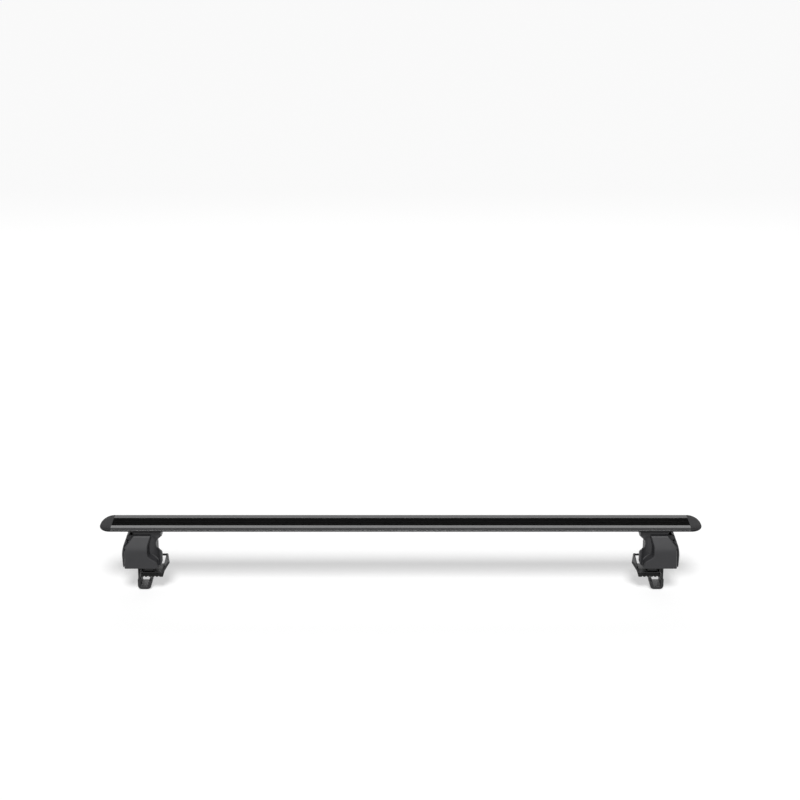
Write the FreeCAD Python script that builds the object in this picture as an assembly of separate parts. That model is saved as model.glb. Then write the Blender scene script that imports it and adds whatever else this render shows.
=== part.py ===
import FreeCAD, Part
import math
import os

# Roof rack crossbar: a wing-section bar on two clamping feet, in millimetres.
# X runs along the bar, Y is rearward, Z is up. The origin is at mid-length on the bar's top.

# Bar
bar_length = 1150.0
bar_height = 17.6
wing_half = 38.6
crown = 0.7
nose_drop = 2.6
tail_drop = 1.3
edge_low = 5.9
edge_rake = 0.5
shoulder_front = 30.5
shoulder_rear = 33.0
keel_half = 7.0
wall = 1.8
nose_radius = 1.5
shoulder_radius = 18.0
keel_radius = 2.0
chamber_radius = 0.8

# Slots in the bar
strip_half = 19.5
strip_depth = 2.2
lip = 2.0
top_mouth_half = 6.0
top_slot_half = 11.0
top_slot_depth = 5.0
web = 1.6
low_mouth_half = 4.5
low_slot_half = 8.5

# Rubber strips
strip_fit = 0.1
groove_width = 1.6
groove_depth = 0.9
groove_inner = 5.5
groove_outer = 13.0
barb_half = 7.4
barb_height = 1.6
low_strip_gap = 22.0
low_barb_half = 6.4

# End caps
cap_length = 25.0
cap_shares = (0.0, 0.25, 0.45, 0.62, 0.76, 0.87, 0.95, 0.99)
tip_drop = 7.0
plug_length = 14.0
plug_fit = 0.2

# Feet: u is measured outboard from the foot's middle, w upwards from the bar's underside
foot_inset = 60.0
foot_travel = 25.0
foot_height = 66.4
shell = 3.0
roof_thickness = 3.6
core_half = 34.0
core_top_half = 25.0
panel_half = 42.0
panel_top_half = 28.0
depth_bend = 29.0
panel_draft = 3.0
gasket = 1.5
gasket_half = 23.0
lip_u = 38.3
lip_w = 4.0
scoop_u = 29.5
scoop_w = 11.0
waist_u = 27.8
waist_w = 23.0
lobe_u = 40.0
lobe_top_w = 30.0
lobe_low_w = 57.4
toe_u = 33.0
skew_front = 20.0
skew_u = 19.0
skew_top_w = 6.0
ledge_slope = 0.4
scallop_u = 22.0
scallop_y = 40.0
scallop_top_w = 9.0
scallop_radius = 15.0
shoulder_u = 16.5
brow_u = 34.0
brow_w = 21.4
skirt_u = 36.0
brow_rise = 1.5
notch_u = 35.0
notch_w = 27.6
notch_radius = 3.0
brow_radius = 4.0
lip_radius = 1.0
scoop_radius = 8.0
waist_radius = 5.0
lobe_radius = 7.0
panel_corner = 2.0
ridge_radius = 5.0
step_radius = 8.0
throat_radius = 20.0
panel_overrun = 4.2
step_u = 14.0
step_w = 40.0
ridge_u = 31.0
ridge_w = 51.0

# Outer cover and its hinge
cover_top_u = 25.0
cover_bulge_u = 41.0
cover_bulge_w = 47.4
cover_low_u = 39.0
cover_bow = 70.0
cover_wall = 2.6
cover_gap = 0.5
cover_slot_half = 21.0
lug_half = 25.0
pin_u = 27.0
pin_w = 8.4
pin_radius = 1.5
pin_fit = 0.08
knuckle_radius = 2.7
lug_radius = 3.0

# Lock in the cover
lock_w = 55.0
lock_radius = 5.0
lock_fit = 0.08
lock_depth = 7.0
lock_proud = 0.6
key_slot = 1.2
key_slot_length = 5.0
key_slot_depth = 3.0
cam_thickness = 2.4
cam_reach = 8.0
cam_half = 3.0
cam_back = 3.5

# Inner frame
plate = 3.0
frame_half = 20.5
frame_in_u = 20.0
fold_radius = 1.0
frame_out_u = 6.0
frame_top_u = 13.0
frame_gap = 0.2
frame_foot = 16.0
clamp_pitch = 22.0
clamp_u = -4.0
screw_radius = 3.0
screw_fit = 0.1
screw_head_radius = 5.0
screw_head = 4.0
slot_plate_length = 46.0
slot_plate_height = 3.4
slot_plate_fit = 0.3

# Tension bolt and hook
bolt_angle = 30.0
bolt_radius = 4.0
bolt_fit = 0.06
bolt_length = 44.0
bolt_head_radius = 6.5
bolt_head = 8.0
socket_across = 6.0
socket_depth = 4.0
washer_radius = 8.0
washer = 1.6
nut_u = 6.0
nut_w = 25.5
nut_radius = 7.0
nut_end = 1.0
tab_reach = 27.1
tab_half_length = 12.0
hook_steel = 3.5
hook_half = 17.0
hook_hole_fit = 0.5
hook_drop = 120.4
hook_lip = 20.0
hook_tip = 12.0
hook_tip_lean = 2.0
hook_bend = 3.0
sleeve = 1.3
sleeve_fit = 0.05
sleeve_rise = 18.0

# Saddle and roof pad
saddle_drop = 16.0
saddle_steel = 3.5
saddle_half = 22.0
saddle_in_u = 38.0
saddle_out_u = 6.0
saddle_lip = 7.0
flange_height = 22.0
flange_lean = 14.4
flange_lean_rear = 6.0
saddle_bend = 2.5
tongue_width = 4.0
tongue_fit = 0.5
pad = 6.5
pad_overhang = 1.5
pad_groove = 1.5
pad_groove_width = 3.0
pad_groove_count = 5
pad_radius = 2.0

# Working levels that follow from the sizes above
keel_z = -bar_height
foot_x = bar_length / 2 - foot_inset
low_strip_half_length = foot_x - lip_u - foot_travel - low_strip_gap
top_slot_top = -(strip_depth + lip)
top_slot_floor = top_slot_top - top_slot_depth
low_slot_top = top_slot_floor - web
low_slot_floor = keel_z + lip
underside_slope = (bar_height - edge_low) / (wing_half - keel_half)
foot_floor = -foot_height
saddle_top = foot_floor - saddle_drop
clamp_places = (clamp_u - clamp_pitch / 2, clamp_u + clamp_pitch / 2)
bolt_dir = FreeCAD.Vector(-math.cos(math.radians(bolt_angle)), 0, math.sin(math.radians(bolt_angle)))
core_reach = core_half * underside_slope
skew_slope = (lobe_u - skew_u) / (core_half + skew_front)
tab_dir = FreeCAD.Vector(math.sin(math.radians(bolt_angle)), 0, math.cos(math.radians(bolt_angle)))


def rounded_wire(corners, place):
    """Closed wire through corners (a, b, radius), each corner turned by a tangent arc."""
    count = len(corners)
    stops = []
    for i in range(count):
        here = FreeCAD.Vector(corners[i][0], corners[i][1], 0)
        back = FreeCAD.Vector(corners[i - 1][0], corners[i - 1][1], 0) - here
        ahead = FreeCAD.Vector(corners[(i + 1) % count][0], corners[(i + 1) % count][1], 0) - here
        back.normalize()
        ahead.normalize()
        radius = corners[i][2]
        if radius == 0:
            stops.append((here, here, here))
            continue
        half = back.getAngle(ahead) / 2
        run = radius / math.tan(half)
        bisector = (back + ahead).normalize()
        middle = here + bisector * (radius / math.sin(half) - radius)
        stops.append((here + back * run, middle, here + ahead * run))
    edges = []
    for i in range(count):
        start, middle, end = stops[i]
        if (end - start).Length > 1e-6:
            edges.append(Part.Arc(place(start), place(middle), place(end)).toShape())
        following = stops[(i + 1) % count][0]
        if (following - end).Length > 1e-6:
            edges.append(Part.LineSegment(place(end), place(following)).toShape())
    return Part.Wire(edges)


def across(x):
    """Place a (y, z) outline in the plane at x."""
    return lambda p: FreeCAD.Vector(x, p.x, p.y)


def foot_side(y):
    """Place a (u, w) outline of the right foot in the plane at y."""
    return lambda p: FreeCAD.Vector(foot_x + p.x, y, keel_z + p.y)


def along_bar(corners, start, end):
    """Prism of a (y, z) outline along the bar."""
    face = Part.Face(rounded_wire(corners, across(start)))
    return face.extrude(FreeCAD.Vector(end - start, 0, 0))


def through_foot(corners, front, back):
    """Prism of a (u, w) outline through the foot, front to back."""
    face = Part.Face(rounded_wire(corners, foot_side(front)))
    return face.extrude(FreeCAD.Vector(0, back - front, 0))


def foot_box(u_low, u_high, y_half, w_low, w_high):
    """Plain block in foot measures, centred on the foot's middle plane."""
    corner = FreeCAD.Vector(foot_x + u_low, -y_half, keel_z + w_low)
    return Part.makeBox(u_high - u_low, 2 * y_half, w_high - w_low, corner)


def foot_point(u, y, w):
    return FreeCAD.Vector(foot_x + u, y, keel_z + w)


def rod(radius, start, direction, length):
    return Part.makeCylinder(radius, length, start, direction)


def pin_across(radius, u, w, half):
    """Cylinder along Y, centred on the foot's middle plane."""
    return rod(radius, foot_point(u, -half, w), FreeCAD.Vector(0, 1, 0), 2 * half)


def hex_prism(across_flats, start, direction, length):
    """Hexagonal bar with its axis along direction."""
    side = direction.cross(FreeCAD.Vector(0, 1, 0)).normalize()
    other = direction.cross(side).normalize()
    reach = across_flats / math.sqrt(3)
    points = []
    for i in range(6):
        angle = math.radians(60 * i)
        points.append(start + side * (reach * math.cos(angle)) + other * (reach * math.sin(angle)))
    face = Part.Face(Part.makePolygon(points + points[:1]))
    return face.extrude(direction * length)


def folded(points, thickness, bend):
    """Outline (a, b, radius) of a folded strip whose middle line runs through points."""
    left = []
    right = []
    last = len(points) - 1
    for i in range(len(points)):
        here = FreeCAD.Vector(points[i][0], points[i][1], 0)
        before = here - FreeCAD.Vector(points[max(i - 1, 0)][0], points[max(i - 1, 0)][1], 0)
        after = FreeCAD.Vector(points[min(i + 1, last)][0], points[min(i + 1, last)][1], 0) - here
        before = (before if i > 0 else after).normalize()
        after = (after if i < last else before).normalize()
        turn = before.cross(after).z
        normal = FreeCAD.Vector(-before.y, before.x, 0) + FreeCAD.Vector(-after.y, after.x, 0)
        normal.normalize()
        reach = thickness / 2 / normal.dot(FreeCAD.Vector(-before.y, before.x, 0))
        inner = 0 if abs(turn) < 1e-9 else bend
        outer = 0 if abs(turn) < 1e-9 else bend + thickness
        left_radius, right_radius = (inner, outer) if turn > 0 else (outer, inner)
        left.append((here.x + normal.x * reach, here.y + normal.y * reach, left_radius))
        right.append((here.x - normal.x * reach, here.y - normal.y * reach, right_radius))
    return left + right[::-1]


def bar_outline():
    """Wing section: crowned top, drooped nose, thin tail, shallow V underside down to the keel."""
    return [
        (-strip_half, 0, 0),
        (-shoulder_front, -crown, shoulder_radius),
        (-wing_half - edge_rake, -nose_drop, nose_radius),
        (-wing_half, -edge_low, nose_radius),
        (-keel_half, keel_z, keel_radius),
        (keel_half, keel_z, keel_radius),
        (wing_half, -edge_low, nose_radius),
        (wing_half + edge_rake, -tail_drop, nose_radius),
        (shoulder_rear, -crown, shoulder_radius),
        (strip_half, 0, 0),
    ]


def chamber_outline(side, inset):
    """Hollow on one side of the slots: side is -1 at the nose and 1 at the tail."""
    slope_length = math.hypot(1, underside_slope)
    gap = wall + inset
    tip = wing_half - 2 * wall - inset
    inner = top_slot_half + gap
    tip_floor = -edge_low - (wing_half - tip) * underside_slope + gap * slope_length
    inner_floor = -edge_low - (wing_half - inner) * underside_slope + gap * slope_length
    drop = nose_drop if side < 0 else tail_drop
    return [
        (side * tip, -gap - drop / 2, chamber_radius / 2),
        (side * (strip_half + gap), -gap, 0),
        (side * (strip_half + gap), -strip_depth - gap, 0),
        (side * inner, -strip_depth - gap, chamber_radius),
        (side * inner, inner_floor, chamber_radius),
        (side * tip, tip_floor, 0),
    ]


def slot_block(half, floor, top):
    """Full-length cutter for a slot of the bar."""
    return Part.makeBox(bar_length, 2 * half, top - floor, FreeCAD.Vector(-bar_length / 2, -half, floor))


def bar_extrusion():
    shape = along_bar(bar_outline(), -bar_length / 2, bar_length / 2)
    cuts = [
        slot_block(strip_half, -strip_depth, wall),
        slot_block(top_mouth_half, top_slot_top, 0),
        slot_block(top_slot_half, top_slot_floor, top_slot_top),
        slot_block(low_slot_half, low_slot_floor, low_slot_top),
        slot_block(low_mouth_half, keel_z - wall, low_slot_floor),
    ]
    for side in (-1, 1):
        cuts.append(along_bar(chamber_outline(side, 0), -bar_length / 2, bar_length / 2))
    return shape.cut(cuts)


def top_strip():
    """Ribbed rubber strip with a barbed stem in the top slot."""
    half = strip_half - strip_fit
    stem = top_mouth_half - strip_fit
    barb_top = top_slot_top - strip_fit
    outline = [
        (-half, 0, groove_depth / 2),
        (-half, -strip_depth, 0),
        (-stem, -strip_depth, 0),
        (-stem, barb_top, 0),
        (-barb_half, barb_top, 0),
        (-stem, barb_top - barb_height, 0),
        (stem, barb_top - barb_height, 0),
        (barb_half, barb_top, 0),
        (stem, barb_top, 0),
        (stem, -strip_depth, 0),
        (half, -strip_depth, 0),
        (half, 0, groove_depth / 2),
    ]
    shape = along_bar(outline, -bar_length / 2, bar_length / 2)
    grooves = []
    for middle in (-groove_outer, -groove_inner, groove_inner, groove_outer):
        groove = slot_block(groove_width / 2, -groove_depth, groove_depth)
        groove.translate(FreeCAD.Vector(0, middle, 0))
        grooves.append(groove)
    return shape.cut(grooves)


def bottom_strip():
    """Infill of the underside slot between the feet."""
    stem = low_mouth_half - strip_fit
    barb_floor = low_slot_floor + strip_fit
    outline = [
        (-stem, keel_z, 0),
        (stem, keel_z, 0),
        (stem, barb_floor, 0),
        (low_barb_half, barb_floor, 0),
        (stem, barb_floor + barb_height, 0),
        (-stem, barb_floor + barb_height, 0),
        (-low_barb_half, barb_floor, 0),
        (-stem, barb_floor, 0),
    ]
    return along_bar(outline, -low_strip_half_length, low_strip_half_length)


def end_cap():
    """Bullet cap lofted from the wing section to a blunt tip, with plugs for the hollow chambers."""
    sections = []
    for share in cap_shares:
        scale = math.sqrt(1 - share * share)
        corners = []
        for y, z, radius in bar_outline():
            corners.append((y * scale, -tip_drop + (z + tip_drop) * scale, radius * scale))
        sections.append(rounded_wire(corners, across(bar_length / 2 + share * cap_length)))
    shape = Part.makeLoft(sections, True, True)
    for side in (-1, 1):
        plug = along_bar(chamber_outline(side, plug_fit), bar_length / 2 - plug_length, bar_length / 2 + wall)
        shape = shape.fuse(plug)
    return shape.removeSplitter()


def under_bar(half, drop):
    """Corners of the V under the bar out to half, lowered by drop, from rear to front."""
    rise = (half - keel_half) * underside_slope
    return [
        (half, keel_z + rise - drop, 0),
        (keel_half, keel_z - drop, 0),
        (-keel_half, keel_z - drop, 0),
        (-half, keel_z + rise - drop, 0),
    ]


def depth_block(low_half, top_half, floor, roof):
    """Side profile of the foot, upright below and leaning back to the bar above."""
    bend_z = keel_z - depth_bend
    outline = [(low_half, bend_z, depth_bend)] + roof
    outline += [(-low_half, bend_z, depth_bend), (-low_half, floor, 0), (low_half, floor, 0)]
    return along_bar(outline, foot_x - foot_height, foot_x + foot_height)


def inboard_corners(inset):
    """Inboard outline of the foot's core, from its top lip over scoop, waist and lobe to its toe."""
    return [
        (-lip_u + inset, core_reach, 0),
        (-lip_u + inset, -lip_w, lip_radius),
        (-scoop_u + inset, -scoop_w, scoop_radius),
        (-waist_u + inset, -waist_w, waist_radius),
        (-lobe_u + inset, -lobe_top_w, lobe_radius),
        (-lobe_u + inset, -lobe_low_w, lobe_radius),
    ]


def core_corners():
    """Front outline of the foot's core, with its chamfered brow outboard."""
    return inboard_corners(0) + [
        (-toe_u, foot_floor, 0),
        (skirt_u, foot_floor, 0),
        (brow_u, -brow_w, brow_radius),
        (shoulder_u, -brow_rise, 0),
        (shoulder_u, core_reach, 0),
    ]


def hollow_corners():
    """Room inside the core: walled inboard and under the brow, open below and outboard."""
    return inboard_corners(shell) + [
        (-toe_u + shell, foot_floor - shell, 0),
        (brow_u + foot_height, foot_floor - shell, 0),
        (brow_u + foot_height, -brow_w - shell, 0),
        (brow_u - shell, -brow_w - shell, brow_radius),
        (shoulder_u - shell, -brow_rise - shell / 2, 0),
        (shoulder_u - shell, core_reach, 0),
    ]


def panel_wire(inset, y):
    """Outline of the raised boot-shaped panel, drawn in by inset, in the plane at y."""
    corners = [
        (shoulder_u, -brow_rise, panel_corner),
        (brow_u, -brow_w, brow_radius),
        (skirt_u, foot_floor - shell, 0),
        (-toe_u, foot_floor - shell, 0),
        (-ridge_u, -ridge_w, ridge_radius),
        (-step_u, -step_w, step_radius),
        (-step_u, -brow_w, throat_radius),
        (-step_u - 2 * shell, -brow_rise, panel_corner),
    ]
    wire = rounded_wire(corners, foot_side(y))
    return wire.makeOffset2D(-inset) if inset else wire


def panel_block(inset):
    """Drafted panel block that stands through the foot from front to back."""
    blocks = []
    for side in (-1, 1):
        root = panel_wire(inset, 0)
        mouth = panel_wire(inset + panel_draft, side * (panel_half + panel_overrun))
        blocks.append(Part.makeLoft([root, mouth], True, True))
    return blocks[0].fuse(blocks[1])


def cover_corners(inset):
    """Crescent between the core's outboard edge and the bulged outer face."""
    return [
        (shoulder_u + cover_gap, 0, 0),
        (cover_top_u - inset, 0, 0),
        (cover_bulge_u - inset, -cover_bulge_w / 2, cover_bow),
        (cover_low_u - inset, foot_floor, 0),
        (skirt_u + cover_gap, foot_floor, 0),
        (brow_u + cover_gap, -brow_w, brow_radius),
    ]


def skew_block(inset):
    """Room beyond the foot's slanted inboard face, which runs outboard to the rear, moved in by inset."""
    shift = inset * math.hypot(1, skew_slope)
    back = panel_half + shell
    far_u = -2 * lobe_u
    low = foot_floor - 2 * shell
    corners = [
        foot_point(-lobe_u + shift, -skew_front, low),
        foot_point(-lobe_u + shift + (back + skew_front) * skew_slope, back, low),
        foot_point(far_u, back, low),
        foot_point(far_u, -skew_front, low),
    ]
    face = Part.Face(Part.makePolygon(corners + corners[:1]))
    return face.extrude(FreeCAD.Vector(0, 0, -skew_top_w - inset - low))


def ledge_block(inset):
    """Room above the inboard lobe, whose top falls to the rear, moved in by inset."""
    back = panel_half + shell
    drop = inset * math.hypot(1, ledge_slope)
    corners = [
        foot_point(-2 * lobe_u, -core_half, -waist_w - drop),
        foot_point(-2 * lobe_u, back, -waist_w - drop - (back + core_half) * ledge_slope),
        foot_point(-2 * lobe_u, back, -waist_w),
        foot_point(-2 * lobe_u, -core_half, -waist_w),
    ]
    wire = Part.makePolygon(corners + corners[:1]) if inset else Part.makePolygon(corners[:3] + corners[:1])
    return Part.Face(wire).extrude(FreeCAD.Vector(2 * lobe_u - waist_u + inset, 0, 0))


def scallops(inset):
    """Round-ended grooves beside the panels, front and rear, grown by inset."""
    radius = scallop_radius + inset
    forms = []
    for side in (-1, 1):
        top = foot_point(-scallop_u, side * scallop_y, -scallop_top_w)
        forms.append(rod(radius, top, FreeCAD.Vector(0, 0, -1), 2 * foot_height))
        forms.append(Part.makeSphere(radius, top))
    return forms


def foot_housing():
    """Moulded foot: cored shell with raised panels, scallops beside them and a slanted inboard face."""
    roof = under_bar(core_top_half, gasket)
    core = through_foot(core_corners(), -panel_half, panel_half)
    core = core.common(depth_block(core_half, core_top_half, keel_z + foot_floor, roof))
    core = core.cut(scallops(0) + [ledge_block(0)])
    panel_roof = under_bar(panel_top_half, gasket)
    panels = panel_block(0)
    panels = panels.common(depth_block(panel_half, panel_top_half, keel_z + foot_floor, panel_roof))
    inner_roof = keel_z - gasket - roof_thickness
    inner_top = core_top_half - shell
    flat_roof = [(inner_top, inner_roof, 0), (-inner_top, inner_roof, 0)]
    hollow = through_foot(hollow_corners(), -panel_half, panel_half)
    floor = keel_z + foot_floor - shell
    hollow = hollow.common(depth_block(core_half - shell, inner_top, floor, flat_roof))
    hollow = hollow.cut(scallops(shell) + [ledge_block(shell)])
    panel_inner_top = panel_top_half - shell
    panel_flat = [(panel_inner_top, inner_roof - shell, 0), (-panel_inner_top, inner_roof - shell, 0)]
    panel_hollow = panel_block(shell)
    panel_hollow = panel_hollow.common(depth_block(panel_half - shell, panel_inner_top, floor, panel_flat))
    shape = core.fuse(panels).cut(skew_block(0)).fuse(hinge_ears())
    room = hollow.fuse(panel_hollow).cut(skew_block(shell))
    cuts = [room, pin_across(pin_radius, pin_u, -pin_w, lug_half)]
    cuts.append(pin_across(notch_radius, notch_u, -notch_w, panel_half))
    for screw_u in clamp_places:
        start = foot_point(screw_u, 0, -gasket - 2 * roof_thickness)
        cuts.append(rod(screw_radius + screw_fit, start, FreeCAD.Vector(0, 0, 1), 3 * roof_thickness))
    return shape.cut(cuts).removeSplitter()


def hinge_ears():
    """Two lugs on the housing's brow that hold the cover's pin."""
    outline = [
        (shoulder_u - shell, -brow_rise, 0),
        (pin_u + lug_radius, -brow_rise, lug_radius),
        (pin_u + lug_radius, -pin_w, 0),
        (pin_u, -pin_w, 0),
        (pin_u - lug_radius, -pin_w - lug_radius, 0),
        (shoulder_u, -pin_w, 0),
    ]
    thickness = lug_half - cover_slot_half
    ears = []
    for front in (-cover_slot_half - thickness, cover_slot_half):
        lug = rod(lug_radius, foot_point(pin_u, front, -pin_w), FreeCAD.Vector(0, 1, 0), thickness)
        ears.append(lug.fuse(through_foot(outline, front, front + thickness)))
    return ears[0].fuse(ears[1])


def bar_gasket():
    """Rubber cradle between the bar's underside and the foot."""
    upper = under_bar(gasket_half, 0)
    lower = under_bar(gasket_half, gasket)
    sheet = along_bar(upper + lower[::-1], foot_x - lip_u + shell, foot_x + shoulder_u)
    holes = []
    for screw_u in clamp_places:
        start = foot_point(screw_u, 0, -2 * gasket)
        holes.append(rod(screw_radius + screw_fit, start, FreeCAD.Vector(0, 0, 1), 3 * gasket))
    return sheet.cut(holes)


def frame_top():
    """Level of the inner frame's top face, under the housing's roof."""
    return -gasket - roof_thickness - frame_gap


def inner_frame():
    """Folded steel frame: top plate, two side plates and feet turned in on the saddle."""
    top = frame_top()
    side = Part.Face(rounded_wire([
        (frame_half, top + keel_z, plate + fold_radius),
        (-frame_half, top + keel_z, plate + fold_radius),
        (-frame_half, saddle_top + keel_z, plate + fold_radius),
        (-frame_half + frame_foot, saddle_top + keel_z, 0),
        (-frame_half + frame_foot, saddle_top + plate + keel_z, 0),
        (-frame_half + plate, saddle_top + plate + keel_z, fold_radius),
        (-frame_half + plate, top - plate + keel_z, fold_radius),
        (frame_half - plate, top - plate + keel_z, fold_radius),
        (frame_half - plate, saddle_top + plate + keel_z, fold_radius),
        (frame_half - frame_foot, saddle_top + plate + keel_z, 0),
        (frame_half - frame_foot, saddle_top + keel_z, 0),
        (frame_half, saddle_top + keel_z, plate + fold_radius),
    ], across(foot_x - frame_in_u)))
    shape = side.extrude(FreeCAD.Vector(frame_in_u + frame_top_u, 0, 0))
    heel_u = saddle_out_u - saddle_steel - 2 * saddle_bend
    heel_w = saddle_top + saddle_lip + plate
    clear = [
        (heel_u, saddle_top - plate, 0),
        (heel_u, heel_w, plate),
        (frame_out_u, heel_w + plate, plate),
        (frame_out_u, top - 3 * plate, plate),
        (frame_top_u + plate, top - 2 * plate, 0),
        (frame_top_u + plate, saddle_top - plate, 0),
    ]
    cuts = [
        through_foot(clear, -panel_half, panel_half),
        pin_across(nut_radius + bolt_fit, -nut_u, -nut_w, panel_half),
    ]
    for screw_u in clamp_places:
        start = foot_point(screw_u, 0, top - 2 * plate)
        cuts.append(rod(screw_radius + screw_fit, start, FreeCAD.Vector(0, 0, 1), 3 * plate))
    for side in (-1, 1):
        base = saddle_screw_base(side)
        cuts.append(rod(screw_radius + screw_fit, base, FreeCAD.Vector(0, 0, 1), 4 * plate))
    return shape.cut(cuts)


def saddle_screw_base(side):
    """Lower end of a saddle screw, flush with the underside of the saddle."""
    u = -frame_in_u / 2
    y = side * (frame_half - 1.5 * plate - screw_head_radius * 2 / math.sqrt(3))
    return foot_point(u, y, saddle_top - saddle_steel)


def slot_plate():
    """T-plate in the underside slot that the clamp screws draw down on the lips."""
    half = low_slot_half - slot_plate_fit
    corner = FreeCAD.Vector(foot_x + clamp_u - slot_plate_length / 2, -half, low_slot_floor)
    shape = Part.makeBox(slot_plate_length, 2 * half, slot_plate_height, corner)
    holes = []
    for screw_u in clamp_places:
        start = FreeCAD.Vector(foot_x + screw_u, 0, keel_z)
        holes.append(rod(screw_radius + screw_fit, start, FreeCAD.Vector(0, 0, 1), bar_height))
    return shape.cut(holes)


def headed_screw(seat, direction, length, drive):
    """Screw with a hexagon head on seat, its shank along direction and a socket in its head."""
    shank = rod(screw_radius, seat, direction, length)
    head = hex_prism(2 * screw_head_radius, seat - direction * screw_head, direction, screw_head)
    socket = hex_prism(drive, seat - direction * screw_head, direction, screw_head / 2)
    return shank.fuse(head).cut(socket)


def clamp_screws():
    """Two screws from under the frame's top plate up into the slot plate."""
    up = FreeCAD.Vector(0, 0, 1)
    seat_w = frame_top() - plate
    reach = low_slot_floor + slot_plate_height - keel_z - seat_w
    screws = []
    for screw_u in clamp_places:
        screws.append(headed_screw(foot_point(screw_u, 0, seat_w), up, reach, screw_radius))
    return Part.makeCompound(screws)


def saddle_screws():
    """Two screws from the frame's feet down into the saddle."""
    down = FreeCAD.Vector(0, 0, -1)
    screws = []
    for side in (-1, 1):
        base = saddle_screw_base(side)
        seat = base + FreeCAD.Vector(0, 0, saddle_steel + plate)
        screws.append(headed_screw(seat, down, saddle_steel + plate, screw_radius))
    return Part.makeCompound(screws)


def tab_middle():
    """Point where the bolt's axis meets the middle of the hook's tab."""
    return foot_point(-nut_u, 0, -nut_w) - bolt_dir * tab_reach


def barrel_nut():
    """Cross-drilled barrel in the side plates of the frame."""
    shape = pin_across(nut_radius, -nut_u, -nut_w, frame_half + nut_end)
    axis = foot_point(-nut_u, 0, -nut_w) - bolt_dir * nut_radius * 2
    return shape.cut(rod(bolt_radius + bolt_fit, axis, bolt_dir, 4 * nut_radius))


def tension_bolt():
    """Cap screw through the hook's tab, with a hexagon socket reached behind the cover."""
    seat = tab_middle() - bolt_dir * (hook_steel / 2 + washer)
    shank = rod(bolt_radius, seat, bolt_dir, bolt_length)
    head = rod(bolt_head_radius, seat - bolt_dir * bolt_head, bolt_dir, bolt_head)
    socket = hex_prism(socket_across, seat - bolt_dir * bolt_head, bolt_dir, socket_depth)
    return shank.fuse(head).cut(socket)


def bolt_washer():
    seat = tab_middle() - bolt_dir * (hook_steel / 2 + washer)
    ring = rod(washer_radius, seat, bolt_dir, washer)
    return ring.cut(rod(bolt_radius + bolt_fit, seat, bolt_dir, washer))


def hook_path():
    """Middle line of the hook in foot measures, from the tab's top round to the lip's tip."""
    middle = tab_middle() - foot_point(0, 0, 0)
    top = middle + tab_dir * tab_half_length
    knee = middle - tab_dir * (tab_half_length + hook_bend)
    heel = -hook_drop + hook_steel / 2
    lip_end = knee.x - hook_lip
    return [
        (top.x, top.z),
        (knee.x, knee.z),
        (knee.x, heel),
        (lip_end, heel),
        (lip_end - hook_tip_lean, heel + hook_tip),
    ]


def hook():
    """Flat steel strap, bent at the tab and hooked inboard at its foot."""
    shape = through_foot(folded(hook_path(), hook_steel, hook_bend), -hook_half, hook_half)
    start = tab_middle() - bolt_dir * hook_steel
    return shape.cut(rod(bolt_radius + hook_hole_fit, start, bolt_dir, 2 * hook_steel))


def hook_sleeve():
    """Soft sleeve drawn over the hook's lip."""
    path = hook_path()
    low = [(path[2][0], path[2][1] + sleeve_rise)] + path[2:]
    tip = path[-1]
    low[-1] = (tip[0] - hook_tip_lean * sleeve / hook_tip, tip[1] + sleeve)
    grown = sleeve + sleeve_fit
    outer_half = hook_half + grown
    outer = through_foot(folded(low, hook_steel + 2 * grown, hook_bend - grown), -outer_half, outer_half)
    fit_half = hook_half + sleeve_fit
    room = folded(path, hook_steel + 2 * sleeve_fit, hook_bend - sleeve_fit)
    return outer.cut(through_foot(room, -fit_half, fit_half))


def saddle_wire(lean, y):
    """Outline of the folded shoe in the plane at y, its inboard flange leaning by lean."""
    middle = saddle_top - saddle_steel / 2
    path = [
        (saddle_out_u - saddle_steel / 2, saddle_top + saddle_lip),
        (saddle_out_u - saddle_steel / 2, middle),
        (-saddle_in_u, middle),
        (-saddle_in_u - lean, saddle_top + flange_height),
    ]
    return rounded_wire(folded(path, saddle_steel, saddle_bend), foot_side(y))


def saddle():
    """Folded steel shoe: base, outboard lip, inboard flange that leans less at the rear, and its tongue."""
    front = saddle_wire(flange_lean, -saddle_half)
    rear = saddle_wire(flange_lean_rear, saddle_half)
    shape = Part.makeLoft([front, rear], True, True)
    start_u = -saddle_in_u - flange_lean_rear
    wall_u = -lobe_u + (saddle_half - tongue_width + skew_front) * skew_slope
    tongue = Part.makeBox(
        wall_u - tongue_fit - start_u,
        tongue_width,
        saddle_steel,
        foot_point(start_u, saddle_half - tongue_width, saddle_top + flange_height - saddle_steel),
    )
    holes = []
    for side in (-1, 1):
        base = saddle_screw_base(side)
        holes.append(rod(screw_radius + screw_fit, base, FreeCAD.Vector(0, 0, 1), saddle_steel))
    return shape.fuse(tongue).cut(holes)


def roof_pad():
    """Rubber pad under the saddle, grooved across its sole."""
    top = saddle_top - saddle_steel
    outline = [
        (-saddle_in_u, top, 0),
        (-saddle_in_u - pad_overhang, top - pad / 2, pad_radius),
        (-saddle_in_u, top - pad, pad_radius / 2),
        (saddle_out_u - pad_overhang, top - pad, pad_radius / 2),
        (saddle_out_u, top, 0),
    ]
    shape = through_foot(outline, -saddle_half - pad_overhang, saddle_half + pad_overhang)
    length = saddle_in_u + saddle_out_u
    cuts = []
    for i in range(pad_groove_count):
        u = -saddle_in_u + length * (i + 1) / (pad_groove_count + 1)
        low, high = u - pad_groove_width / 2, u + pad_groove_width / 2
        cuts.append(foot_box(low, high, panel_half, top - pad - pad_groove, top - pad + pad_groove))
    return shape.cut(cuts)


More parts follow.
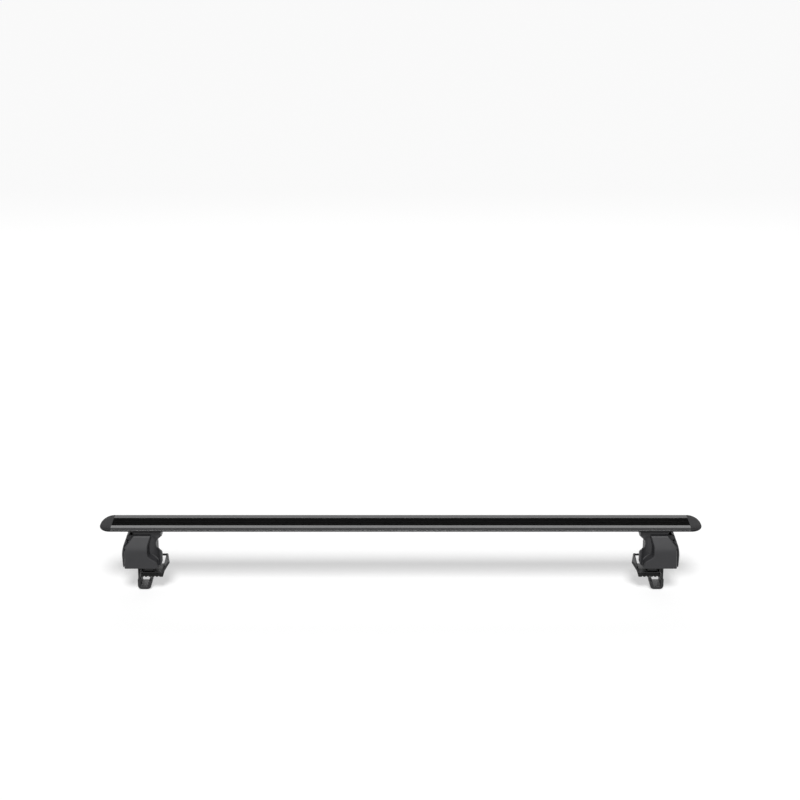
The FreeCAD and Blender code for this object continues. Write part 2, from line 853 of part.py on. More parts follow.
def outer_cover():
    """Bulged cover, hollow inside, with a neck between the housing's lugs down from its hinge."""
    wing_top = -pin_w - lug_radius - cover_gap
    shell_half = core_half - cover_gap / 2
    solid = through_foot(cover_corners(0), -shell_half, shell_half)
    room = through_foot([
        (shoulder_u - shell, shell, 0),
        (cover_top_u - cover_wall, shell, 0),
        (cover_bulge_u - cover_wall, -cover_bulge_w / 2, cover_bow),
        (cover_low_u - cover_wall, foot_floor + cover_wall, 0),
        (skirt_u - shell, foot_floor + cover_wall, 0),
        (brow_u - shell, -brow_w, brow_radius),
    ], -shell_half + cover_wall, shell_half - cover_wall)
    body = solid.cut(room)
    below = foot_box(0, foot_height, panel_half, foot_floor - shell, wing_top)
    neck_half = cover_slot_half - cover_gap
    neck = foot_box(pin_u, foot_height, neck_half, wing_top - shell, -pin_w)
    kept = body.common(below).fuse(body.common(neck))
    knuckle = pin_across(knuckle_radius, pin_u, -pin_w, neck_half)
    shape = kept.fuse(knuckle)
    cuts = [pin_across(pin_radius + pin_fit, pin_u, -pin_w, panel_half)]
    bore = rod(lock_radius + lock_fit, foot_point(0, 0, -lock_w), FreeCAD.Vector(1, 0, 0), 2 * foot_height)
    cuts.append(bore)
    return shape.cut(cuts).removeSplitter()


def cover_pin():
    return pin_across(pin_radius, pin_u, -pin_w, lug_half)


def lock_face_u():
    """Outboard face of the lock, just proud of the cover's face beside it."""
    share = (foot_height - lock_w) / (foot_height - cover_bulge_w / 2)
    return cover_low_u + (cover_bulge_u - cover_low_u) * share + lock_proud


def lock_barrel():
    """Turned lock plug with a key slot in its face."""
    face = foot_point(lock_face_u(), 0, -lock_w)
    inward = FreeCAD.Vector(-1, 0, 0)
    shape = rod(lock_radius, face, inward, lock_depth)
    corner = foot_point(lock_face_u() - key_slot_depth, -key_slot / 2, -lock_w - key_slot_length / 2)
    return shape.cut(Part.makeBox(key_slot_depth, key_slot, key_slot_length, corner))


def lock_cam():
    """Cam plate on the plug's inner end."""
    back = lock_face_u() - lock_depth
    corner = foot_point(back - cam_thickness, -cam_back, -lock_w - cam_half)
    return Part.makeBox(cam_thickness, cam_reach + cam_back, 2 * cam_half, corner)


right_side = {
    "foot_housing": foot_housing(),
    "bar_gasket": bar_gasket(),
    "inner_frame": inner_frame(),
    "slot_plate": slot_plate(),
    "clamp_screws": clamp_screws(),
    "barrel_nut": barrel_nut(),
    "tension_bolt": tension_bolt(),
    "bolt_washer": bolt_washer(),
    "hook": hook(),
    "hook_sleeve": hook_sleeve(),
    "saddle": saddle(),
    "saddle_screws": saddle_screws(),
    "roof_pad": roof_pad(),
    "outer_cover": outer_cover(),
    "cover_pin": cover_pin(),
    "lock_barrel": lock_barrel(),
    "lock_cam": lock_cam(),
    "end_cap": end_cap(),
}
shapes = {
    "bar_extrusion": bar_extrusion(),
    "top_strip": top_strip(),
    "bottom_strip": bottom_strip(),
}
for name, shape in right_side.items():
    shapes[name + "_right"] = shape
    shapes[name + "_left"] = shape.mirror(FreeCAD.Vector(0, 0, 0), FreeCAD.Vector(1, 0, 0))

os.makedirs("parts", exist_ok=True)
for name, shape in shapes.items():
    shape.exportStep("parts/" + name + ".step")
    print(name, shape.isValid(), len(shape.Solids), round(shape.Volume))
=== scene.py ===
import bpy
import bmesh
import numpy as np
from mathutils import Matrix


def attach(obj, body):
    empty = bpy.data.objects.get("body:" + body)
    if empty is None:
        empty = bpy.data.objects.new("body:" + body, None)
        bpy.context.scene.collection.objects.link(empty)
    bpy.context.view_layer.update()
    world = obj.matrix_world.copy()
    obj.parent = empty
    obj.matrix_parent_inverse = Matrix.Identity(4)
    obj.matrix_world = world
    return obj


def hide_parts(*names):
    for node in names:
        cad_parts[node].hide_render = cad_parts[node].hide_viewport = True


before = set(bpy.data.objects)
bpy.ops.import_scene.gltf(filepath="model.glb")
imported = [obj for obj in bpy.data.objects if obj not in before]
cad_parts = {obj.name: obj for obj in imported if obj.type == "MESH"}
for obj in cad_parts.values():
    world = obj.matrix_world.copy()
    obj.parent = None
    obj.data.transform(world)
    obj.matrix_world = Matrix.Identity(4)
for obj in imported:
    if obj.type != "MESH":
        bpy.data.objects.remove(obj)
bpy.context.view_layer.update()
print("frame loaded:", len(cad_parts), "nodes")

# Everything below is worked out in millimetres and turned to metres when it becomes a mesh.
# Foot measures: u outboard from the middle of a foot, w up from the underside of the bar, y rearward.
footX = 515.0
keelZ = -17.6
sides = {"right": 1, "left": -1}


# Shapes: outlines and grids as whole arrays, and the one function that turns them into a piece

def roundedLoop(corners, arcSteps=6, least=0.12):
    # every corner (a, b, radius) gives way to an arc that touches both its edges; returns the closed outline
    data = np.array(corners, float)
    points, radii = data[:, :2], np.maximum(data[:, 2], least)
    back = np.roll(points, 1, 0) - points
    ahead = np.roll(points, -1, 0) - points
    back /= np.linalg.norm(back, axis=1)[:, None]
    ahead /= np.linalg.norm(ahead, axis=1)[:, None]
    half = np.arccos(np.clip((back * ahead).sum(1), -1, 1)) / 2
    run = (radii / np.tan(half))[:, None]
    bisector = (back + ahead) / np.linalg.norm(back + ahead, axis=1)[:, None]
    centre = points + bisector * (radii / np.sin(half))[:, None]
    first = points + back * run - centre
    last = points + ahead * run - centre
    start = np.arctan2(first[:, 1], first[:, 0])
    sweep = (np.arctan2(last[:, 1], last[:, 0]) - start + np.pi) % (2 * np.pi) - np.pi
    angle = start[:, None] + sweep[:, None] * np.linspace(0, 1, arcSteps)
    arc = centre[:, None] + radii[:, None, None] * np.stack([np.cos(angle), np.sin(angle)], -1)
    return arc.reshape(-1, 2)


def foldedStrip(path, thickness, bend):
    # corners of a bent strip: the middle line moved half a thickness to each side, with bend radii inside and out
    points = np.array(path, float)
    run = np.diff(points, axis=0)
    run /= np.linalg.norm(run, axis=1)[:, None]
    before, after = np.vstack([run[:1], run]), np.vstack([run, run[-1:]])
    turn = before[:, 0] * after[:, 1] - before[:, 1] * after[:, 0]
    sideBefore = np.stack([-before[:, 1], before[:, 0]], -1)
    sideAfter = np.stack([-after[:, 1], after[:, 0]], -1)
    normal = (sideBefore + sideAfter) / np.linalg.norm(sideBefore + sideAfter, axis=1)[:, None]
    reach = thickness / 2 / (normal * sideBefore).sum(1)[:, None]
    inner = np.where(turn > 1e-9, bend, np.where(turn < -1e-9, bend + thickness, 0.9))
    outer = np.where(turn > 1e-9, bend + thickness, np.where(turn < -1e-9, bend, 0.9))
    left = np.column_stack([points + normal * reach, inner])
    right = np.column_stack([points - normal * reach, outer])
    return np.vstack([left, right[::-1]])


def drawnIn(loop, amount):
    # the outline moved inwards along its own normals, one copy for each amount
    tangent = np.roll(loop, -1, 0) - np.roll(loop, 1, 0)
    tangent /= np.linalg.norm(tangent, axis=1)[:, None]
    area = (loop[:, 0] * np.roll(loop[:, 1], -1) - loop[:, 1] * np.roll(loop[:, 0], -1)).sum()
    normal = np.stack([tangent[:, 1], -tangent[:, 0]], -1) * np.sign(area)
    return loop[None] - normal[None] * np.asarray(amount)[:, None, None]


def carried(loop, start, end, edge):
    # a profile carried straight from start to end; within edge of both ends it draws in by a quarter round
    turn = np.linspace(0, np.pi / 2, 4)
    inset, along = edge * (1 - np.sin(turn)), edge * (1 - np.cos(turn))
    sections = drawnIn(loop, np.concatenate([inset, inset[::-1]]))
    stations = np.concatenate([start + along, (end - along)[::-1]])
    return sections, np.broadcast_to(stations[:, None], sections.shape[:2])


def acrossFoot(corners, front, back, edge=0.5):
    # a (u, w) profile carried through the foot from front to back, as (u, y, w) points
    sections, y = carried(roundedLoop(corners), front, back, edge)
    return np.stack([sections[..., 0], y, sections[..., 1]], -1)


def alongBar(loop, start, end, edge=0.2):
    # a (y, z) profile carried along the bar, as (x, y, z) points
    sections, x = carried(loop, start, end, edge)
    return np.stack([x, sections[..., 0], sections[..., 1]], -1)


def turned(radii, stations, origin, direction, shape=None, count=48):
    # a turned form: radius along an axis, swept round it; shape (rows, count) swells or flattens the circle
    axis = np.array(direction, float) / np.linalg.norm(direction)
    first = np.cross(axis, [0, 1, 0])
    first /= np.linalg.norm(first)
    second = np.cross(axis, first)
    angle = np.arange(count) / count * 2 * np.pi
    radius = np.asarray(radii, float)[:, None] * (1 if shape is None else shape)
    radius = np.broadcast_to(radius, (len(radii), count))
    ring = np.cos(angle)[:, None] * first + np.sin(angle)[:, None] * second
    return np.array(origin) + np.asarray(stations)[:, None, None] * axis + radius[..., None] * ring


def onFoot(points, side):
    # foot measures to bar measures, mirrored for the left foot
    return np.stack([side * (footX + points[..., 0]), points[..., 1], keelZ + points[..., 2]], -1)


def softened(grid, rounds, axis, closed=False):
    # a moving average (1, 2, 1) / 4 along one way of the grid; it rounds edges as a mould maker does
    for _ in range(rounds):
        ahead, back = np.roll(grid, -1, axis), np.roll(grid, 1, axis)
        mean = (ahead + 2 * grid + back) / 4
        if not closed:
            keep = [slice(None)] * grid.ndim
            for end in (0, -1):
                keep[axis] = end
                mean[tuple(keep)] = grid[tuple(keep)]
        grid = mean
    return grid


def faceTable(grid, closed, ends, mask, middle):
    # quads between neighbours of the grid, turned so that they face away from the middle; ends: "flat" fills the
    # first and last ring with one face, "ladder" joins each point of the ring to the one opposite it
    rows, columns = grid.shape[:2]
    index = np.arange(rows * columns).reshape(rows, columns)
    here = index if closed else index[:, :-1]
    beside = np.roll(index, -1, 1) if closed else index[:, 1:]
    quads = np.stack([here[:-1], here[1:], beside[1:], beside[:-1]], -1)
    flat = grid.reshape(-1, 3)
    corners = flat[quads]
    areas = np.cross(corners[..., 2, :] - corners[..., 0, :], corners[..., 3, :] - corners[..., 1, :])
    outward = (areas * (corners.mean(-2) - middle)).sum() > 0
    tables = [(quads if mask is None else quads[mask]).reshape(-1, 4)]
    if ends == "flat":
        tables += [index[:1], index[-1:, ::-1]]
    if ends == "ladder":
        near, far = index[:, :columns // 2], index[:, ::-1][:, :columns // 2]
        rungs = np.stack([near[:, :-1], near[:, 1:], far[:, 1:], far[:, :-1]], -1)
        tables += [rungs[0], rungs[-1][:, ::-1]]
    return tables if outward else [table[:, ::-1] for table in tables]


def makePiece(name, sheets, material, body, replaces=(), sharp=35, wall=0.0):
    # sheets are (grid, closed, ends, mask): all become one mesh at the origin, in metres; the sheets of a shell face
    # away from the middle of the whole shell, any other sheet is a solid and faces away from its own middle
    vertices = np.vstack([grid.reshape(-1, 3) for grid, *_ in sheets])
    tables, offset = [], 0
    for grid, closed, ends, mask in sheets:
        middle = vertices.mean(0) if wall else grid.reshape(-1, 3).mean(0)
        tables += [table + offset for table in faceTable(grid, closed, ends, mask, middle)]
        offset += grid.shape[0] * grid.shape[1]
    # points that no face uses are left out
    used = np.unique(np.concatenate([table.ravel() for table in tables]))
    number = np.zeros(len(vertices), int)
    number[used] = np.arange(len(used))
    faces = [face for table in tables for face in number[table].tolist()]
    mesh = bpy.data.meshes.new(name)
    mesh.from_pydata((vertices[used] / 1000).tolist(), [], faces)
    work = bmesh.new()
    work.from_mesh(mesh)
    bmesh.ops.remove_doubles(work, verts=work.verts, dist=1e-6)
    work.to_mesh(mesh)
    work.free()
    mesh.shade_smooth()
    mesh.set_sharp_from_angle(angle=np.radians(sharp))
    mesh.materials.append(material)
    piece = bpy.data.objects.new(name, mesh)
    bpy.context.scene.collection.objects.link(piece)
    if wall:
        shell = piece.modifiers.new("wall", "SOLIDIFY")
        shell.thickness, shell.offset, shell.use_quality_normals = wall / 1000, -1, True
    normals = piece.modifiers.new("normals", "WEIGHTED_NORMAL")
    normals.keep_sharp = True
    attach(piece, body)
    if replaces:
        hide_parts(*replaces)
    return piece


# Materials, each named for the real material and how its surface was made

def linear(hexColour):
    # sRGB hex to linear colour
    value = np.array([int(hexColour[i:i + 2], 16) for i in (1, 3, 5)]) / 255
    return (*np.where(value <= 0.04045, value / 12.92, ((value + 0.055) / 1.055) ** 2.4), 1.0)


def add(tree, kind, inputs=None, **settings):
    # one node: settings are its properties, inputs are socket values or the sockets that feed them
    node = tree.nodes.new(kind)
    for key, value in settings.items():
        setattr(node, key, value)
    for key, value in (inputs or {}).items():
        if isinstance(value, bpy.types.NodeSocket):
            tree.links.new(value, node.inputs[key])
        else:
            node.inputs[key].default_value = value
    return node


def blankMaterial(name):
    material = bpy.data.materials.new(name)
    material.use_nodes = True
    material.node_tree.nodes.clear()
    tree = material.node_tree
    return material, tree, add(tree, "ShaderNodeTexCoord").outputs["Object"]


def closeMaterial(tree, shader):
    add(tree, "ShaderNodeOutputMaterial", {"Surface": shader.outputs["BSDF"]})


def perMm(size):
    # texture scale for a pattern whose cells are this many millimetres
    return 1000.0 / size


def blackAnodised():
    # Drawn aluminium, etched and dyed black: a dark glassy oxide skin, satin, with faint lines along the draw
    look = {"colour": "#131314", "paler": "#1c1c1e", "line": 0.5, "stretch": 60.0, "rough": (0.14, 0.22),
            "bump": 0.012, "cloud": 45.0, "ior": 1.35}
    material, tree, place = blankMaterial("black anodised aluminium, drawn")
    size = perMm(look["line"])
    lines = add(tree, "ShaderNodeMapping", {"Vector": place, "Scale": (size / look["stretch"], size, size)})
    draw = add(tree, "ShaderNodeTexNoise", {"Vector": lines.outputs["Vector"], "Scale": 1.0, "Detail": 3.0})
    cloud = add(tree, "ShaderNodeTexNoise", {"Vector": place, "Scale": perMm(look["cloud"]), "Detail": 2.0})
    tone = add(tree, "ShaderNodeMix", {0: cloud.outputs["Fac"], 6: linear(look["colour"]), 7: linear(look["paler"])},
               data_type="RGBA")
    rough = add(tree, "ShaderNodeMapRange", {"Value": draw.outputs["Fac"], "From Min": 0.25, "From Max": 0.75,
                                             "To Min": look["rough"][0], "To Max": look["rough"][1]})
    bump = add(tree, "ShaderNodeBump", {"Height": draw.outputs["Fac"], "Strength": 0.25,
                                        "Distance": look["bump"] / 1000})
    closeMaterial(tree, add(tree, "ShaderNodeBsdfPrincipled", {
        "Base Color": tone.outputs[2], "Roughness": rough.outputs["Result"], "IOR": look["ior"],
        "Normal": bump.outputs["Normal"]}))
    return material


def ribbedRubber():
    # Extruded EPDM: dead black, slightly waxy, with a fine drag along its length and a little dust in the pores
    look = {"colour": "#010101", "dust": "#070707", "pore": 0.8, "stretch": 12.0, "rough": (0.62, 0.85),
            "bump": 0.03, "shine": 0.02}
    material, tree, place = blankMaterial("EPDM rubber, extruded")
    size = perMm(look["pore"])
    lines = add(tree, "ShaderNodeMapping", {"Vector": place, "Scale": (size / look["stretch"], size, size)})
    drag = add(tree, "ShaderNodeTexNoise", {"Vector": lines.outputs["Vector"], "Scale": 1.0, "Detail": 4.0})
    tone = add(tree, "ShaderNodeMix", {0: drag.outputs["Fac"], 6: linear(look["colour"]), 7: linear(look["dust"])},
               data_type="RGBA")
    rough = add(tree, "ShaderNodeMapRange", {"Value": drag.outputs["Fac"], "From Min": 0.3, "From Max": 0.7,
                                             "To Min": look["rough"][0], "To Max": look["rough"][1]})
    bump = add(tree, "ShaderNodeBump", {"Height": drag.outputs["Fac"], "Strength": 0.5,
                                        "Distance": look["bump"] / 1000})
    closeMaterial(tree, add(tree, "ShaderNodeBsdfPrincipled", {
        "Base Color": tone.outputs[2], "Roughness": rough.outputs["Result"], "Specular IOR Level": look["shine"],
        "Normal": bump.outputs["Normal"]}))
    return material


def grainedNylon(name, look):
    # Glass-filled nylon from an etched mould: charcoal, a fine leathery grain that breaks the shine into a soft sheen
    material, tree, place = blankMaterial(name)
    cells = add(tree, "ShaderNodeTexVoronoi", {"Vector": place, "Scale": perMm(look["grain"])}, feature="SMOOTH_F1")
    cloud = add(tree, "ShaderNodeTexNoise", {"Vector": place, "Scale": perMm(look["cloud"]), "Detail": 3.0})
    tone = add(tree, "ShaderNodeMix", {0: cloud.outputs["Fac"], 6: linear(look["colour"]), 7: linear(look["paler"])},
               data_type="RGBA")
    rough = add(tree, "ShaderNodeMapRange", {"Value": cells.outputs["Distance"], "From Min": 0.1, "From Max": 0.7,
                                             "To Min": look["rough"][0], "To Max": look["rough"][1]})
    bump = add(tree, "ShaderNodeBump", {"Height": cells.outputs["Distance"], "Strength": 0.4,
                                        "Distance": look["bump"] / 1000})
    closeMaterial(tree, add(tree, "ShaderNodeBsdfPrincipled", {
        "Base Color": tone.outputs[2], "Roughness": rough.outputs["Result"], "Specular IOR Level": look["shine"],
        "Normal": bump.outputs["Normal"]}))
    return material


def powderCoat():
    # Powder-coated steel: near black, a low orange peel that ripples the highlights
    look = {"colour": "#232324", "paler": "#2b2b2c", "peel": 1.6, "cloud": 20.0, "rough": (0.42, 0.55),
            "bump": 0.04, "shine": 0.3}
    material, tree, place = blankMaterial("black powder coat on folded steel")
    peel = add(tree, "ShaderNodeTexNoise", {"Vector": place, "Scale": perMm(look["peel"]), "Detail": 1.0})
    cloud = add(tree, "ShaderNodeTexNoise", {"Vector": place, "Scale": perMm(look["cloud"]), "Detail": 2.0})
    tone = add(tree, "ShaderNodeMix", {0: cloud.outputs["Fac"], 6: linear(look["colour"]), 7: linear(look["paler"])},
               data_type="RGBA")
    rough = add(tree, "ShaderNodeMapRange", {"Value": cloud.outputs["Fac"], "From Min": 0.3, "From Max": 0.7,
                                             "To Min": look["rough"][0], "To Max": look["rough"][1]})
    bump = add(tree, "ShaderNodeBump", {"Height": peel.outputs["Fac"], "Strength": 0.5,
                                        "Distance": look["bump"] / 1000})
    closeMaterial(tree, add(tree, "ShaderNodeBsdfPrincipled", {
        "Base Color": tone.outputs[2], "Roughness": rough.outputs["Result"], "Specular IOR Level": look["shine"],
        "Normal": bump.outputs["Normal"]}))
    return material


def mouldedRubber(name, look):
    # Compression-moulded rubber: matt black with a sandy touch
    material, tree, place = blankMaterial(name)
    sand = add(tree, "ShaderNodeTexNoise", {"Vector": place, "Scale": perMm(look["grain"]), "Detail": 4.0})
    tone = add(tree, "ShaderNodeMix", {0: sand.outputs["Fac"], 6: linear(look["colour"]), 7: linear(look["paler"])},
               data_type="RGBA")
    rough = add(tree, "ShaderNodeMapRange", {"Value": sand.outputs["Fac"], "From Min": 0.3, "From Max": 0.7,
                                             "To Min": look["rough"][0], "To Max": look["rough"][1]})
    bump = add(tree, "ShaderNodeBump", {"Height": sand.outputs["Fac"], "Strength": 0.5,
                                        "Distance": look["bump"] / 1000})
    closeMaterial(tree, add(tree, "ShaderNodeBsdfPrincipled", {
        "Base Color": tone.outputs[2], "Roughness": rough.outputs["Result"], "Specular IOR Level": look["shine"],
        "Normal": bump.outputs["Normal"]}))
    return material


def zincPlate():
    # Bright zinc on turned and stamped steel: cool grey metal, cloudy, with fine scratches
    look = {"colour": "#a9acb0", "paler": "#c6c8cb", "scratch": 0.4, "cloud": 6.0, "rough": (0.26, 0.45),
            "bump": 0.008}
    material, tree, place = blankMaterial("zinc-plated steel")
    scratch = add(tree, "ShaderNodeTexNoise", {"Vector": place, "Scale": perMm(look["scratch"]), "Detail": 5.0})
    cloud = add(tree, "ShaderNodeTexNoise", {"Vector": place, "Scale": perMm(look["cloud"]), "Detail": 2.0})
    tone = add(tree, "ShaderNodeMix", {0: cloud.outputs["Fac"], 6: linear(look["colour"]), 7: linear(look["paler"])},
               data_type="RGBA")
    rough = add(tree, "ShaderNodeMapRange", {"Value": scratch.outputs["Fac"], "From Min": 0.3, "From Max": 0.7,
                                             "To Min": look["rough"][0], "To Max": look["rough"][1]})
    bump = add(tree, "ShaderNodeBump", {"Height": scratch.outputs["Fac"], "Strength": 0.3,
                                        "Distance": look["bump"] / 1000})
    closeMaterial(tree, add(tree, "ShaderNodeBsdfPrincipled", {
        "Base Color": tone.outputs[2], "Metallic": 1.0, "Roughness": rough.outputs["Result"],
        "Normal": bump.outputs["Normal"]}))
    return material


def satinNickel():
    # Nickel-plated brass, faced on a lathe: warm grey metal with fine rings round the plug's axis
    look = {"colour": "#b8b5ae", "paler": "#cfccc5", "ring": 0.5, "plug": 55.0, "rough": (0.2, 0.34),
            "bump": 0.006}
    material, tree, place = blankMaterial("satin nickel on turned brass")
    # the plug sits this far under the bar; the wave texture makes a ring for every twentieth of its scale
    level = (0.0, 0.0, (look["plug"] - keelZ) / 1000)
    face = add(tree, "ShaderNodeMapping", {"Vector": place, "Location": level, "Scale": (0.0, 1.0, 1.0)})
    rings = add(tree, "ShaderNodeTexWave", {"Vector": face.outputs["Vector"], "Scale": perMm(look["ring"]) / 20,
                                            "Distortion": 0.4}, wave_type="RINGS", rings_direction="SPHERICAL")
    tone = add(tree, "ShaderNodeMix", {0: rings.outputs["Fac"], 6: linear(look["colour"]), 7: linear(look["paler"])},
               data_type="RGBA")
    rough = add(tree, "ShaderNodeMapRange", {"Value": rings.outputs["Fac"], "To Min": look["rough"][0],
                                             "To Max": look["rough"][1]})
    bump = add(tree, "ShaderNodeBump", {"Height": rings.outputs["Fac"], "Strength": 0.3,
                                        "Distance": look["bump"] / 1000})
    closeMaterial(tree, add(tree, "ShaderNodeBsdfPrincipled", {
        "Base Color": tone.outputs[2], "Metallic": 1.0, "Roughness": rough.outputs["Result"],
        "Normal": bump.outputs["Normal"]}))
    return material


barFinish = blackAnodised()
stripFinish = ribbedRubber()
footFinish = grainedNylon("glass-filled nylon, grained mould", {
    "colour": "#242426", "paler": "#2c2c2e", "grain": 0.7, "cloud": 14.0, "rough": (0.43, 0.53), "bump": 0.05,
    "shine": 0.4})
capFinish = grainedNylon("glass-filled nylon, fine mould", {
    "colour": "#1c1c1d", "paler": "#232324", "grain": 0.45, "cloud": 14.0, "rough": (0.5, 0.6), "bump": 0.025,
    "shine": 0.08})
steelFinish = powderCoat()
padFinish = mouldedRubber("moulded pad rubber", {
    "colour": "#0c0c0c", "paler": "#151515", "grain": 0.5, "rough": (0.75, 0.92), "bump": 0.05, "shine": 0.3})
sleeveFinish = mouldedRubber("dipped soft vinyl", {
    "colour": "#0e0e0f", "paler": "#141415", "grain": 2.5, "rough": (0.42, 0.56), "bump": 0.02, "shine": 0.45})
zincFinish = zincPlate()
lockFinish = satinNickel()
print("materials made")


# The bar with its strips and caps

bar = {"half": 575.0, "wing": 38.6, "crown": 0.7, "noseDrop": 2.6, "tailDrop": 1.3, "edgeLow": 5.9, "rake": 0.5,
       "shoulderFront": 30.5, "shoulderRear": 33.0, "keel": 7.0, "keelRadius": 2.0, "shoulderRadius": 18.0,
       "nose": 1.5, "slotRadius": 0.25}
wingFront = [(-bar["shoulderFront"], -bar["crown"], bar["shoulderRadius"]),
             (-bar["wing"] - bar["rake"], -bar["noseDrop"], bar["nose"]),
             (-bar["wing"], -bar["edgeLow"], bar["nose"]), (-bar["keel"], keelZ, bar["keelRadius"])]
wingRear = [(bar["keel"], keelZ, bar["keelRadius"]), (bar["wing"], -bar["edgeLow"], bar["nose"]),
            (bar["wing"] + bar["rake"], -bar["tailDrop"], bar["nose"]),
            (bar["shoulderRear"], -bar["crown"], bar["shoulderRadius"])]
topSlot = [(19.5, 0), (19.5, -2.2), (6, -2.2), (6, -4.2), (11, -4.2), (11, -9.2),
           (-11, -9.2), (-11, -4.2), (-6, -4.2), (-6, -2.2), (-19.5, -2.2), (-19.5, 0)]
lowSlot = [(-4.5, keelZ), (-4.5, -15.6), (-8.5, -15.6), (-8.5, -10.8),
           (8.5, -10.8), (8.5, -15.6), (4.5, -15.6), (4.5, keelZ)]
barLoop = roundedLoop(wingFront + [(y, z, bar["slotRadius"]) for y, z in lowSlot]
                      + wingRear + [(y, z, bar["slotRadius"]) for y, z in topSlot], 8)
makePiece("bar", [(alongBar(barLoop, -bar["half"], bar["half"]), True, "flat", None)], barFinish, "bar",
          ["bar_extrusion"])

strip = {"half": 19.4, "depth": 2.2, "grooves": (-13.0, -5.5, 5.5, 13.0), "grooveHalf": 0.8, "grooveDepth": 0.9,
         "ribPitch": 1.5, "ribDepth": 0.14, "edge": 0.45}
# strip height over y: flat-bottomed grooves, a cosine of fine ribs between them, and rounded long edges
stripY = np.linspace(-strip["half"], strip["half"], 421)
grooveCut = sum(np.exp(-((stripY - middle) / strip["grooveHalf"]) ** 6) for middle in strip["grooves"])
ribCut = strip["ribDepth"] * (0.5 - 0.5 * np.cos(2 * np.pi * stripY / strip["ribPitch"]))
edgeCut = strip["edge"] * np.abs(stripY / strip["half"]) ** 70
stripZ = -strip["grooveDepth"] * grooveCut - ribCut * (1 - grooveCut) - edgeCut
stripLow = [[strip["half"], -strip["depth"]], [-strip["half"], -strip["depth"]]]
stripLoop = np.vstack([np.column_stack([stripY, stripZ]), stripLow])
stripGrid = np.stack([np.stack([np.full(len(stripLoop), x), *stripLoop.T], -1) for x in (-bar["half"], bar["half"])])
makePiece("topStrip", [(stripGrid, True, "flat", None)], stripFinish, "bar", ["top_strip"], sharp=50)

lowStrip = {"half": 4.4, "barb": 6.4, "lip": -15.5, "top": -13.9, "length": 429.7}
lowLoop = roundedLoop([
    (-lowStrip["half"], keelZ, 0.5), (lowStrip["half"], keelZ, 0.5), (lowStrip["half"], lowStrip["lip"], 0),
    (lowStrip["barb"], lowStrip["lip"], 0.2), (lowStrip["half"], lowStrip["top"], 0),
    (-lowStrip["half"], lowStrip["top"], 0), (-lowStrip["barb"], lowStrip["lip"], 0.2),
    (-lowStrip["half"], lowStrip["lip"], 0)])
makePiece("lowStrip", [(alongBar(lowLoop, -lowStrip["length"], lowStrip["length"]), True, "flat", None)], stripFinish,
          "bar", ["bottom_strip"])

cap = {"length": 25.0, "tipDrop": 7.0, "joint": 0.4, "rings": 26}
# cap: the wing outline shrunk towards the tip as the cosine of an angle, while it goes out as the sine
capLoop = roundedLoop(wingFront + wingRear + [(19.5, 0, 30), (-19.5, 0, 30)], 10)
capTurn = np.linspace(0, np.radians(88.5), cap["rings"])
capScale = np.concatenate([[1 - 1.5 * cap["joint"] / bar["wing"]], np.cos(capTurn)])
capReach = np.concatenate([[0], cap["joint"] * np.cos(capTurn) + cap["length"] * np.sin(capTurn)])
for sideName, side in sides.items():
    capGrid = np.stack([
        np.broadcast_to(side * (bar["half"] + capReach)[:, None], (len(capReach), len(capLoop))),
        capLoop[:, 0] * capScale[:, None],
        -cap["tipDrop"] + (capLoop[:, 1] + cap["tipDrop"]) * capScale[:, None]], -1)
    makePiece("endCap_" + sideName, [(capGrid, True, "flat", None)], capFinish, "bar",
              ["end_cap_" + sideName], sharp=50)
print("bar, strips and caps made")


# The feet

def insideBoot(u, w, outline):
    # signed distance to the boot-shaped outline, in mm: positive inside it
    ends = np.roll(outline, -1, 0)
    point = np.stack([u, w], -1)[..., None, :]
    edge = ends - outline
    share = np.clip(((point - outline) * edge).sum(-1) / (edge * edge).sum(-1), 0, 1)
    distance = np.linalg.norm(point - outline - share[..., None] * edge, axis=-1).min(-1)
    above = (outline[:, 1] > w[..., None]) != (ends[:, 1] > w[..., None])
    drop = np.where(edge[:, 1] == 0, 1e-9, edge[:, 1])
    crossing = outline[:, 0] + (w[..., None] - outline[:, 1]) / drop * edge[:, 0]
    inside = (above & (u[..., None] < crossing)).sum(-1) % 2 == 1
    return np.where(inside, distance, -distance)


def softRamp(x, width):
    # zero below the bend and a straight rise after it, with a hyperbola between
    return 0.5 * (x + np.sqrt(x * x + width * width))


housing = {"top": 5.2, "floor": -66.4, "roofSlope": 11.7 / 31.6, "gasket": 1.5, "coreTop": 25.0, "core": 34.0,
           "panelTop": 28.0, "panel": 42.0, "bend": -29.0, "wall": 2.6, "raise": 3.0, "rows": 124, "front": 132,
           "side": 52, "line": -20.5, "beside": 3.0, "split": 0.22, "doorTop": -24.4, "doorHalf": 31.0, "lobe": -40.0,
           "lobeMiddle": -45.0, "waist": -23.0, "skewFront": 20.0, "skewSlope": 0.3889, "skewTop": -6.0,
           "ledgeSlope": 0.4, "notch": (35.0, -27.6, 3.0), "scallop": (-22.0, 40.0, -9.0, 15.0),
           "bendWidth": 0.16, "scallopEdge": 0.8}
footOutline = roundedLoop([(-38.3, 12, 0), (-38.3, -4, 1), (-29.5, -11, 8), (-27.8, -23, 5), (-40, -30, 6),
                           (-40, -57.4, 7), (-33, -66.4, 0.2), (36, -66.4, 0.2), (34, -21.4, 4), (16.5, -1.5, 1),
                           (16.5, 12, 0)], 12)
inboardEdge = footOutline[footOutline[:, 0] < 0]
outboardEdge = footOutline[footOutline[:, 0] > 0]
boot = roundedLoop([(16.5, 0.5, 2), (34, -21.4, 4), (36.4, -75, 0), (-33, -75, 0), (-33, -66.4, 1), (-31, -51, 5),
                    (-14, -40, 8), (-14, -21.4, 20), (-20.5, 0.5, 2)], 8)


def edgeAt(w, points):
    # where an edge of the foot's outline stands at level w
    order = np.argsort(points[:, 1])
    return np.interp(w, points[order, 1], points[order, 0])


